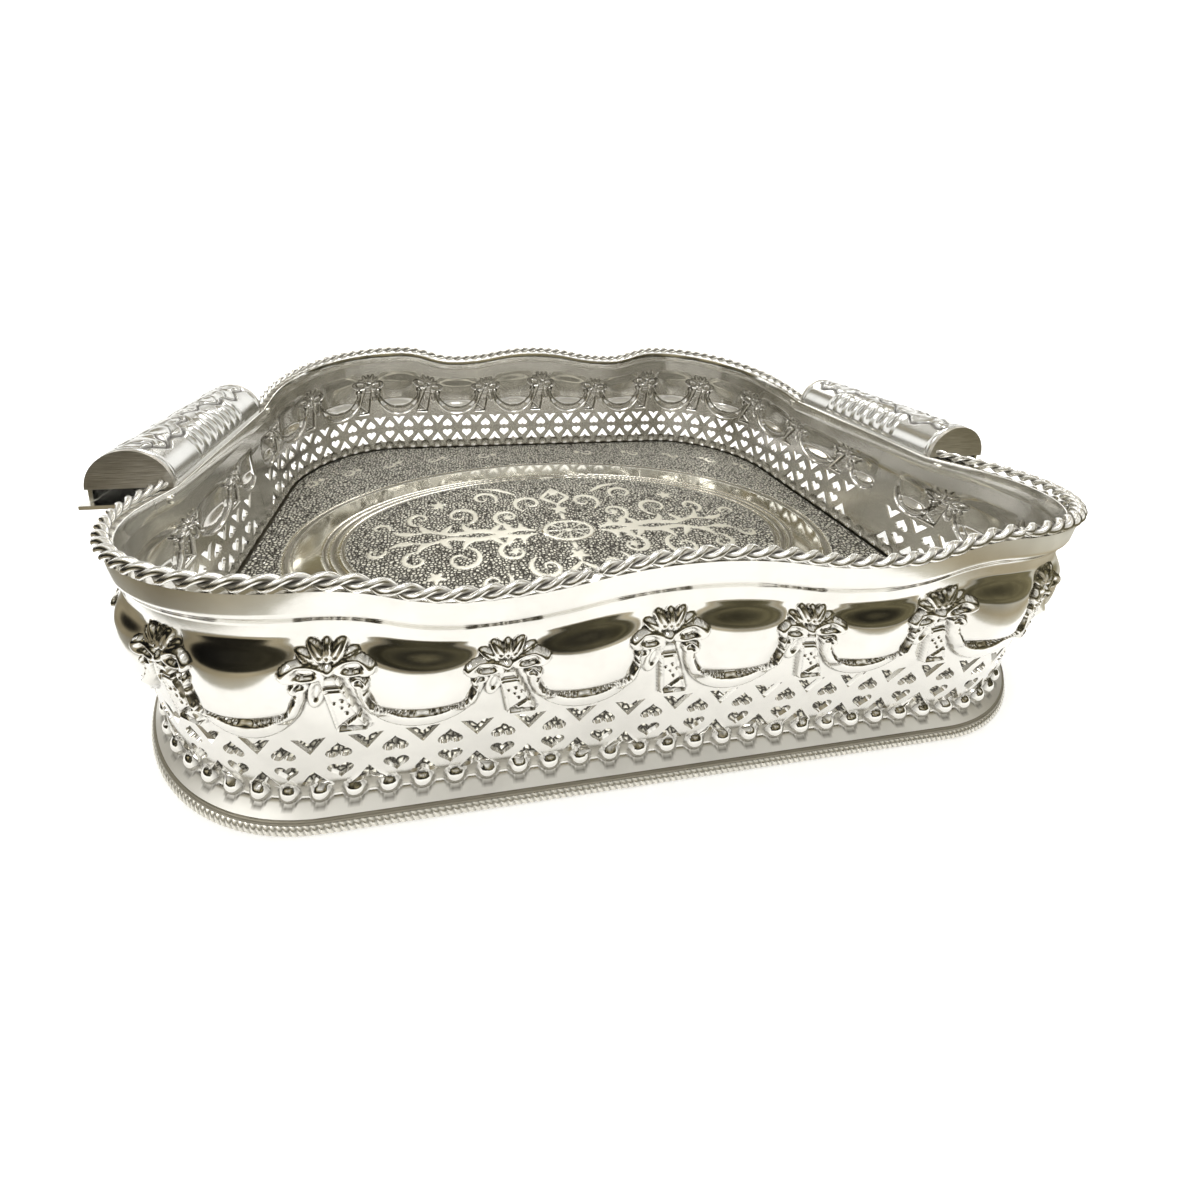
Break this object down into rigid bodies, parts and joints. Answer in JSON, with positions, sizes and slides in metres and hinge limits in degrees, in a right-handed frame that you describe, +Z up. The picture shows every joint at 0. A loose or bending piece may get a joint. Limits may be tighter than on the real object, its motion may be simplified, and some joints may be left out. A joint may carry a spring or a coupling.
{
  "type": "gallery tray",
  "caption": "Oblong silver gallery tray with a flared pierced wall of swags, bows and hearts, a twisted wire rim, and a hollow roll handle on each short end.",
  "frame": {"origin": "on the table, under the middle of the tray", "axes": "+X along the long side towards the right handle, +Y to the back long side, +Z up"},
  "size_m": [0.3592, 0.2414, 0.0749],
  "materials": {
    "sheet": "bright silver plate, polished by hand",
    "floor": "silver plate, chased lines and matted ground",
    "band": "bright silver plate",
    "wire": "silver plate, dark in the grooves",
    "border": "silver plate, gadrooned",
    "roll": "silver plate, embossed",
    "end_plate": "matt scratch-brushed silver plate",
    "rivet": "bright silver plate"
  },
  "bodies": {
    "root": {"base_border": "border", "foot_flange": "sheet", "floor_plate": "floor", "gallery_front_left": "sheet", "gallery_back_right": "sheet", "rim_band_front": "band", "rim_band_right": "band", "rim_band_back": "band", "rim_band_left": "band", "wire_front_left": "wire", "wire_front": "wire", "wire_front_right": "wire", "wire_back": "wire", "handle_plate_left": "sheet", "handle_plate_right": "sheet", "handle_roll_left": "roll", "handle_roll_right": "roll", "handle_end_left_front": "end_plate", "handle_end_left_back": "end_plate", "handle_end_right_front": "end_plate", "handle_end_right_back": "end_plate", "handle_rivets_left": "rivet", "handle_rivets_right": "rivet"}
  },
  "joints": []
}
